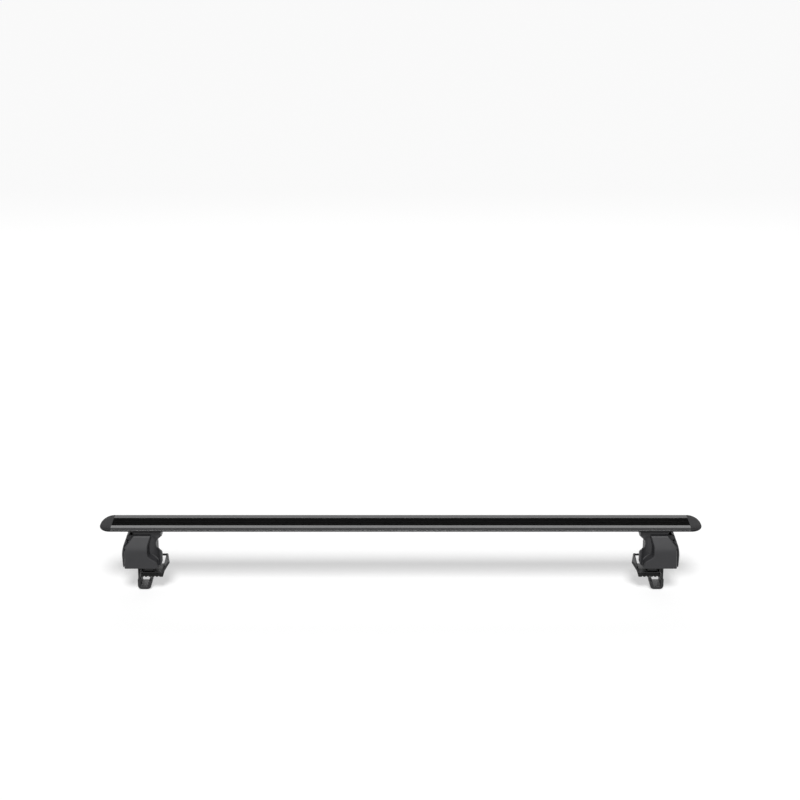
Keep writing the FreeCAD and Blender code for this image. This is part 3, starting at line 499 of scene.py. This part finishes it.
def roofAt(y):
    # underside of the bar, less the gasket
    return (np.minimum(np.abs(y), housing["coreTop"]) - 7).clip(0) * housing["roofSlope"] - housing["gasket"]


def standOff(u, w):
    # depth of the front or rear skin: the core leans back above the bend and a round-ended groove is scooped out of
    # it; inside the boot outline the skin rises to the panel's depth in a soft step
    lean = softRamp((w - housing["bend"]) / (housing["top"] - housing["bend"]), housing["bendWidth"])[:, None]
    core = housing["core"] - (housing["core"] - housing["coreTop"]) * lean
    panel = housing["panel"] - (housing["panel"] - housing["panelTop"]) * lean
    grooveU, grooveY, grooveTop, radius = housing["scallop"]
    away = (u - grooveU) ** 2 + (w[:, None] - grooveTop).clip(0) ** 2
    scooped = grooveY - np.sqrt((radius ** 2 - away).clip(0))
    core = core - softRamp(core - scooped, housing["scallopEdge"])
    inside = insideBoot(u, np.broadcast_to(w[:, None], u.shape), boot)
    step = np.clip(inside / housing["raise"], 0, 1)
    step = 1 - (1 - step) ** 2
    return core + (panel - core) * step


def inboardAt(y, w):
    # inboard wall: the outline's edge, whose shoulder over the lobe falls to the rear, less what the slant takes away
    wall = edgeAt(w, inboardEdge)
    fall = housing["ledgeSlope"] * (y + housing["core"]).clip(0)
    shoulder = edgeAt((w + fall).clip(housing["lobeMiddle"], housing["waist"]), inboardEdge)
    wall = np.where(w < housing["waist"], np.maximum(wall, shoulder), wall)
    slant = housing["lobe"] + (y + housing["skewFront"]) * housing["skewSlope"]
    return np.where(w < housing["skewTop"], np.maximum(wall, slant), wall)


def roofOver(top, share):
    # one measure of the roof: rows from the inboard to the outboard wall, framed by the front and the rear edge
    front, outboard, rear, inboard = np.split(top, np.cumsum([housing["front"], housing["side"], housing["front"]]))
    between = inboard[::-1, None] * (1 - share) + outboard[:, None] * share
    return np.vstack([front[None], between, rear[None, ::-1]])


def housingGrid():
    # loops round the foot, one per level: front, outboard wall, rear and inboard wall
    level = np.linspace(0, 1, housing["rows"])
    w = housing["top"] + (housing["floor"] - housing["top"]) * level
    outer = edgeAt(w, outboardEdge)
    biteU, biteW, bite = housing["notch"]
    bitten = biteU - np.sqrt((bite ** 2 - (w - biteW) ** 2).clip(0))
    outer = np.where(np.abs(w - biteW) < bite, np.minimum(outer, bitten), outer)
    # where the front and the rear skin meet the inboard wall, found in a few rounds
    inner = innerRear = edgeAt(w, inboardEdge)
    for _ in range(4):
        inner = inboardAt(-standOff(inner[:, None], w)[:, 0], w)
        innerRear = inboardAt(standOff(innerRear[:, None], w)[:, 0], w)
    # columns: most lie between a fixed line beside the panel and the outboard edge, the rest inboard of that line
    share = np.linspace(0, 1, housing["front"])
    shares = share.clip(housing["split"])
    few = share.clip(0, housing["split"]) / housing["split"]
    most = (shares - housing["split"]) / (1 - housing["split"])
    lineRear = np.maximum(housing["line"], innerRear + housing["beside"])
    front = inner[:, None] + (housing["line"] - inner)[:, None] * few + (outer - housing["line"])[:, None] * most
    rear = innerRear[:, None] + (lineRear - innerRear)[:, None] * few + (outer - lineRear)[:, None] * most
    frontY, rearY = standOff(front, w), standOff(rear, w)
    across = np.linspace(-1, 1, housing["side"] + 2)[1:-1]
    outboardY = -frontY[:, -1:] * (1 - across) / 2 + rearY[:, -1:] * (1 + across) / 2
    inboardY = rearY[:, :1] * (1 - across) / 2 - frontY[:, :1] * (1 + across) / 2
    inboard = inboardAt(inboardY, w[:, None])
    loopU = np.concatenate([front, outer[:, None] + 0 * across, rear[:, ::-1], inboard], 1)
    loopY = np.concatenate([-frontY, outboardY, rearY[:, ::-1], inboardY], 1)
    loopU, loopY = (softened(softened(a, 4, 1, True), 2, 0) for a in (loopU, loopY))
    roof = roofAt(loopY)
    loopW = roof + (housing["floor"] - roof) * level[:, None]
    grid = np.stack([loopU, loopY, loopW], -1)
    frontU = loopU[0, :housing["front"]]
    across = (frontU - frontU[0]) / (frontU[-1] - frontU[0])
    roofU, roofY = roofOver(loopU[0], across), roofOver(loopY[0], across)
    roofGrid = np.stack([roofU, roofY, roofAt(roofY)], -1)
    # doorway behind the cover: no wall there
    centre = (grid[:-1] + grid[1:]) / 2
    outboard = np.zeros(grid.shape[1], bool)
    outboard[housing["front"]:housing["front"] + housing["side"]] = True
    door = outboard & (centre[..., 2] < housing["doorTop"]) & (np.abs(centre[..., 1]) < housing["doorHalf"])
    return grid, ~door, roofGrid


lug = {"outline": [(13.5, -1.5, 0.3), (30, -1.5, 3), (30, -11.4, 2.9), (24.2, -11.4, 2.9), (16.5, -8.4, 0.3)],
       "near": 21.0, "far": 25.3, "edge": 0.4}

cover = {"outline": [(17, 0, 0.3), (25, 0, 0.3), (41, -23.7, 70), (39, -66.4, 1), (36.5, -66.4, 0.3),
                     (34.5, -21.4, 4)],
         "browLevel": (-66.4, -21.4, 0.0), "brow": (36.5, 34.5, 17.0), "lap": 0.2, "least": 1.2, "arc": 40,
         "top": -8.4, "floor": -66.4, "wings": -11.9, "wingStep": 0.15, "neckHalf": 20.5, "half": 33.75,
         "round": 4.0, "wall": 2.4, "rows": 84, "web": 60, "turn": 14, "folds": 6,
         "pin": (27.0, -8.4), "knuckle": 2.7, "knuckleEnd": 2.0, "chamfer": 0.4}


def coverGrid():
    # tray-shaped skin: at each level the outer face runs across the foot and turns in at both sides to the housing;
    # the outer face follows the crescent's arc, and at the floor it folds in to close the bottom
    arc, wings, step = cover["arc"], cover["wings"], cover["wingStep"]
    outerArc = roundedLoop(cover["outline"], arc)[arc:4 * arc]
    order = np.argsort(outerArc[:, 1])
    w = np.linspace(cover["top"], cover["floor"], cover["rows"])
    w = np.sort(np.concatenate([w, [wings + step, wings - step]]))[::-1]
    outer = np.interp(w, outerArc[order, 1], outerArc[order, 0])
    brow = np.interp(w, cover["browLevel"], cover["brow"])
    inner = np.where(w > wings, outer - cover["least"], np.minimum(brow + cover["lap"], outer - cover["least"]))
    half = np.where(w > wings, cover["neckHalf"], cover["half"])
    folds = cover["folds"]
    fold = np.linspace(1, 0, folds + 1)[1:]
    outer = np.concatenate([outer, inner[-1] + (outer[-1] - inner[-1]) * fold])
    inner = np.concatenate([inner, np.full(folds, inner[-1])])
    half = np.concatenate([half, np.full(folds, half[-1])])
    w = np.concatenate([w, np.full(folds, w[-1])])
    turn = np.linspace(0, 1, cover["turn"])
    web = np.linspace(-1, 1, cover["web"])[1:-1]
    # quarter-round edges, from the wall beside the housing out to the face
    wallU = inner[:, None] + (outer - inner)[:, None] * np.sin(turn * np.pi / 2)
    wallY = half[:, None] - cover["round"] * (1 - np.cos(turn * np.pi / 2))
    u = np.concatenate([wallU, outer[:, None] + 0 * web, wallU[:, ::-1]], 1)
    y = np.concatenate([-wallY, (half[:, None] - cover["round"]) * web, wallY[:, ::-1]], 1)
    grid = np.stack([u, y, np.broadcast_to(w[:, None], u.shape)], -1)
    return softened(grid, 3, 1)


def knuckleGrid():
    # the round on the cover's hinge line: a turned bar with chamfered ends
    pinU, pinW = cover["pin"]
    half, chamfer = cover["neckHalf"], cover["chamfer"]
    radii = [cover["knuckleEnd"], cover["knuckle"], cover["knuckle"], cover["knuckleEnd"]]
    stations = [0, chamfer, 2 * half - chamfer, 2 * half]
    return turned(radii, stations, (pinU, -half, pinW), (0, 1, 1e-6), None, 40)


saddle = {"path": [(4.25, -75.4), (4.25, -84.15), (-38, -84.15), (-52.4, -60.4)], "steel": 3.5, "bend": 2.5,
          "half": 22.0, "low": -84.15, "rise": 23.75, "flange": -20.0, "rearLean": 8.4, "tongueSpan": (18.0, 21.5),
          "tongue": [(-45.2, -60.4, 0.4), (-25.7, -60.4, 0.4), (-25.7, -63.9, 0.4), (-44.4, -63.9, 0.4)]}
hook = {"path": [(23.469, -28.658), (9.969, -52.041), (9.969, -118.65), (-10.031, -118.65), (-12.031, -106.65)],
        "steel": 3.46, "bend": 3.0, "half": 17.0}
sleeve = {"path": [(9.969, -100.65), (9.969, -118.65), (-10.031, -118.65), (-12.248, -105.35)], "steel": 6.2,
          "bend": 1.65, "half": 18.35}
pad = {"left": -38.0, "right": 6.0, "top": -85.9, "deep": 6.5, "bulge": 1.5, "grooves": 5, "groove": 3.0, "cut": 1.5,
       "half": 23.5, "edge": 0.8}


def shoeGrid():
    # the folded shoe; its flange turns more upright towards the rear, in proportion to height and y
    outline = foldedStrip(saddle["path"], saddle["steel"], saddle["bend"])
    grid = acrossFoot(outline, -saddle["half"], saddle["half"], 0.6)
    height = np.clip((grid[..., 2] - saddle["low"]) / saddle["rise"], 0, 1.1) * (grid[..., 0] < saddle["flange"])
    grid[..., 0] += saddle["rearLean"] * height * (grid[..., 1] + saddle["half"]) / (2 * saddle["half"])
    return grid


def padGrid():
    # sole with square grooves across it under a flat top, as pairs of points along u; the ends bulge and draw in,
    # and within a rounded edge of the front and the back the section shrinks by a quarter round
    low, high = pad["top"] - pad["deep"], pad["top"]
    u = np.linspace(pad["left"], pad["right"] - pad["bulge"] * 0.5, 260)
    middles = pad["left"] + (pad["right"] - pad["left"]) * np.arange(1, pad["grooves"] + 1) / (pad["grooves"] + 1)
    cut = np.exp(-((u[:, None] - middles) / (pad["groove"] / 2)) ** 10).max(1)
    sole = low + pad["cut"] * cut
    turn = np.linspace(0, np.pi / 2, 5)
    edge = pad["edge"]
    inset = np.concatenate([edge * (1 - np.sin(turn)), edge * (1 - np.sin(turn[::-1]))])
    y = np.concatenate([-pad["half"] + edge * (1 - np.cos(turn)), pad["half"] - edge * (1 - np.cos(turn[::-1]))])
    bulge = np.linspace(0, np.pi, 9)[1:-1]
    inboardU, inboardW = pad["left"] - pad["bulge"] * np.sin(bulge), low + pad["deep"] * (0.5 + 0.5 * np.cos(bulge))
    outboardU = pad["right"] - pad["bulge"] * 0.5 + 0 * bulge
    ringU = np.concatenate([inboardU[3:], u, outboardU, u[::-1], inboardU[:3]])
    ringW = np.concatenate([inboardW[3:], sole, inboardW[::-1], np.full(len(u), high), inboardW[:3]])
    loop = np.stack([ringU, ringW], -1)
    middle = np.array([(pad["left"] + pad["right"]) / 2, (low + high) / 2])
    size = np.array([pad["right"] - pad["left"], pad["deep"]])
    sections = middle + (loop - middle) * (1 - 2 * inset[:, None, None] / size)
    return np.stack([sections[..., 0], np.broadcast_to(y[:, None], sections.shape[:2]), sections[..., 1]], -1)


bolt = {"angle": 30.0, "tab": (17.469, 0.0, -39.05), "seat": 3.35, "radius": 4.0, "length": 44.0, "pitch": 1.25,
        "thread": 0.62, "head": 6.5, "headHeight": 8.0, "socket": 6.0, "socketDepth": 4.0, "knurls": 36,
        "knurl": 0.012, "plain": 8.0, "neck": 3.9}


def boltSheets():
    # head: a turned profile whose rim is knurled and whose socket is flattened to a hexagon;
    # shank: radius falls and rises with the distance along the axis less pitch times the turn, which is the thread
    along = np.array([-np.cos(np.radians(bolt["angle"])), 0, np.sin(np.radians(bolt["angle"]))])
    seat = np.array(bolt["tab"]) - along * bolt["seat"]
    count = 144
    angle = np.arange(count) / count * 2 * np.pi
    knurl = 1 - bolt["knurl"] * (0.5 + 0.5 * np.cos(bolt["knurls"] * angle))
    hexagon = 1 / np.cos((angle + np.pi / 6) % (np.pi / 3) - np.pi / 6)
    flat = bolt["socket"] / 2
    rim, crown, neck = bolt["head"], bolt["head"] - 0.4, bolt["neck"]
    radii = [neck, crown, rim, rim, crown, flat + 0.25, flat, flat, 0.05]
    top = -bolt["headHeight"]
    deep = top + bolt["socketDepth"]
    stations = [0, 0, -0.4, top + 0.5, top, top, top + 0.3, deep, deep + 0.6]
    shape = np.ones((len(radii), count))
    shape[2:4] = knurl
    shape[5:] = hexagon
    head = turned(radii, stations, seat, along, shape, count)
    turns, around = 8, 40
    rows = int((bolt["length"] - bolt["plain"]) / bolt["pitch"] * turns)
    s = np.linspace(bolt["plain"], bolt["length"], rows)
    phase = (s[:, None] / bolt["pitch"] - np.arange(around) / around) % 1
    radius = bolt["radius"] - bolt["thread"] * np.abs(2 * phase - 1)
    taper = np.clip((bolt["length"] - s) / 1.2, 0.55, 1)[:, None]
    shank = turned(np.ones(rows), s, seat, along, radius * taper, around)
    plain = turned([neck, neck], [-0.2, bolt["plain"]], seat, along, None, around)
    return [head, plain, shank]


for sideName, side in sides.items():
    foot = "foot_" + sideName
    walls, mask, roof = housingGrid()
    makePiece("footHousing_" + sideName,
              [(onFoot(walls, side), True, None, mask), (onFoot(roof, side), False, None, None)],
              footFinish, foot, ["foot_housing_" + sideName], sharp=60, wall=housing["wall"])
    ears = [acrossFoot(lug["outline"], *span, lug["edge"])
            for span in ((-lug["far"], -lug["near"]), (lug["near"], lug["far"]))]
    makePiece("hingeLugs_" + sideName, [(onFoot(ear, side), True, "flat", None) for ear in ears], footFinish, foot)
    makePiece("outerCover_" + sideName, [(onFoot(coverGrid(), side), False, None, None)], footFinish,
              "cover_" + sideName, ["outer_cover_" + sideName], sharp=60, wall=cover["wall"])
    makePiece("coverKnuckle_" + sideName, [(onFoot(knuckleGrid(), side), True, "flat", None)], footFinish,
              "cover_" + sideName)
    tongue = acrossFoot(saddle["tongue"], *saddle["tongueSpan"], 0.5)
    makePiece("saddle_" + sideName,
              [(onFoot(shoeGrid(), side), True, "ladder", None), (onFoot(tongue, side), True, "flat", None)],
              steelFinish, foot, ["saddle_" + sideName])
    strap = acrossFoot(foldedStrip(hook["path"], hook["steel"], hook["bend"]), -hook["half"], hook["half"], 0.6)
    makePiece("hook_" + sideName, [(onFoot(strap, side), True, "ladder", None)], steelFinish, "hook_" + sideName,
              ["hook_" + sideName])
    sockOutline = foldedStrip(sleeve["path"], sleeve["steel"], sleeve["bend"])
    sock = acrossFoot(sockOutline, -sleeve["half"], sleeve["half"], 1.2)
    makePiece("hookSleeve_" + sideName, [(onFoot(sock, side), True, "ladder", None)], sleeveFinish,
              "hook_" + sideName, ["hook_sleeve_" + sideName])
    makePiece("roofPad_" + sideName, [(onFoot(padGrid(), side), True, "ladder", None)], padFinish, foot,
              ["roof_pad_" + sideName])
    makePiece("tensionBolt_" + sideName, [(onFoot(sheet, side), True, "flat", None) for sheet in boltSheets()],
              zincFinish, "bolt_" + sideName, ["tension_bolt_" + sideName], sharp=30)
print("feet made")

# the nodes that keep their CAD shape
kept = {"bar_gasket": padFinish, "inner_frame": steelFinish, "slot_plate": zincFinish, "clamp_screws": zincFinish,
        "barrel_nut": zincFinish, "bolt_washer": zincFinish, "saddle_screws": zincFinish, "cover_pin": zincFinish,
        "lock_barrel": lockFinish, "lock_cam": zincFinish}
for name, finish in kept.items():
    for sideName in sides:
        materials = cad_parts[name + "_" + sideName].data.materials
        materials.clear()
        materials.append(finish)


# Floor, light and camera

def seenBy(tree):
    # 1 for camera, glossy and transmission rays, 0 for the rays that carry light to other surfaces
    ray = add(tree, "ShaderNodeLightPath")
    seen = add(tree, "ShaderNodeMath", {0: ray.outputs["Is Camera Ray"], 1: ray.outputs["Is Glossy Ray"]},
               operation="MAXIMUM")
    both = add(tree, "ShaderNodeMath", {0: seen.outputs[0], 1: ray.outputs["Is Transmission Ray"]},
               operation="MAXIMUM")
    return both.outputs[0]


# key: sun strength, then spread, height and swing in degrees; softboxes: watts, metres and degrees
studio = {"floorZ": -0.1402, "floorHalf": 60.0, "floor": "#c0c0c0", "glow": 0.5, "ambient": 0.1,
          "key": (3.0, 20.0, 52.0, 0.0),
          "softboxes": {"front": {"watts": 14.0, "size": (2.4, 0.6), "far": 3.2, "height": 31.0, "behind": False},
                        "rear": {"watts": 20.0, "size": (4.0, 0.8), "far": 3.0, "height": 33.0, "behind": True}}}
floorMaterial, tree, _ = blankMaterial("pale studio floor")
glow = add(tree, "ShaderNodeMath", {0: seenBy(tree), 1: studio["glow"]}, operation="MULTIPLY")
paint = add(tree, "ShaderNodeBsdfDiffuse", {"Color": linear(studio["floor"])})
shine = add(tree, "ShaderNodeEmission", {"Color": (1, 1, 1, 1), "Strength": glow.outputs[0]})
both = add(tree, "ShaderNodeAddShader", {0: paint.outputs[0], 1: shine.outputs[0]})
add(tree, "ShaderNodeOutputMaterial", {"Surface": both.outputs[0]})
half, level = studio["floorHalf"], studio["floorZ"]
floorMesh = bpy.data.meshes.new("floor")
floorMesh.from_pydata([(-half, -half, level), (half, -half, level), (half, half, level), (-half, half, level)],
                      [], [(0, 1, 2, 3)])
floorMesh.materials.append(floorMaterial)
floor = bpy.data.objects.new("floor", floorMesh)
bpy.context.scene.collection.objects.link(floor)

world = bpy.data.worlds.new("studio")
world.use_nodes = True
world.node_tree.nodes.clear()
tree = world.node_tree
dim = add(tree, "ShaderNodeBackground", {"Color": (1, 1, 1, 1), "Strength": studio["ambient"]})
white = add(tree, "ShaderNodeBackground", {"Color": (1, 1, 1, 1), "Strength": 1.0})
mixed = add(tree, "ShaderNodeMixShader", {0: seenBy(tree), 1: dim.outputs[0], 2: white.outputs[0]})
add(tree, "ShaderNodeOutputWorld", {"Surface": mixed.outputs[0]})
bpy.context.scene.world = world


# key: a broad lamp far off in front, so the whole floor is lit alike
strength, spread, height, swing = studio["key"]
key = bpy.data.lights.new("key", "SUN")
key.energy, key.angle = strength, np.radians(spread)
keyHolder = bpy.data.objects.new("key", key)
keyHolder.rotation_euler = (np.radians(90 - height), 0, np.radians(swing))
bpy.context.scene.collection.objects.link(keyHolder)
# softboxes: the front one gives the leaning panels their sheen, the rear one is mirrored in the bar's near band
for name, box in studio["softboxes"].items():
    lamp = bpy.data.lights.new(name, "AREA")
    lamp.shape, lamp.energy = "RECTANGLE", box["watts"]
    lamp.size, lamp.size_y = box["size"]
    rise, turn = np.radians(box["height"]), 1 if box["behind"] else -1
    holder = bpy.data.objects.new(name, lamp)
    holder.location = (0, turn * box["far"] * np.cos(rise), box["far"] * np.sin(rise))
    holder.rotation_euler = (-turn * (np.pi / 2 - rise), 0, 0)
    bpy.context.scene.collection.objects.link(holder)

view = {"elevation": 22.4, "distance": 3.8, "lens": 85.5, "column": 400.7, "row": 521.6, "focal": 1900.0}
lift = np.radians(view["elevation"])
camera = bpy.data.cameras.new("camera")
camera.lens, camera.sensor_width, camera.clip_end = view["lens"], 36.0, 200.0
eye = bpy.data.objects.new("camera", camera)
eye.location = (-(view["column"] - 400) * view["distance"] / view["focal"], -view["distance"] * np.cos(lift),
                view["distance"] * np.sin(lift))
eye.rotation_euler = (np.pi / 2 - lift + np.arctan((view["row"] - 400) / view["focal"]), 0, 0)
bpy.context.scene.collection.objects.link(eye)
bpy.context.scene.camera = eye
bpy.context.scene.view_settings.view_transform = "Standard"
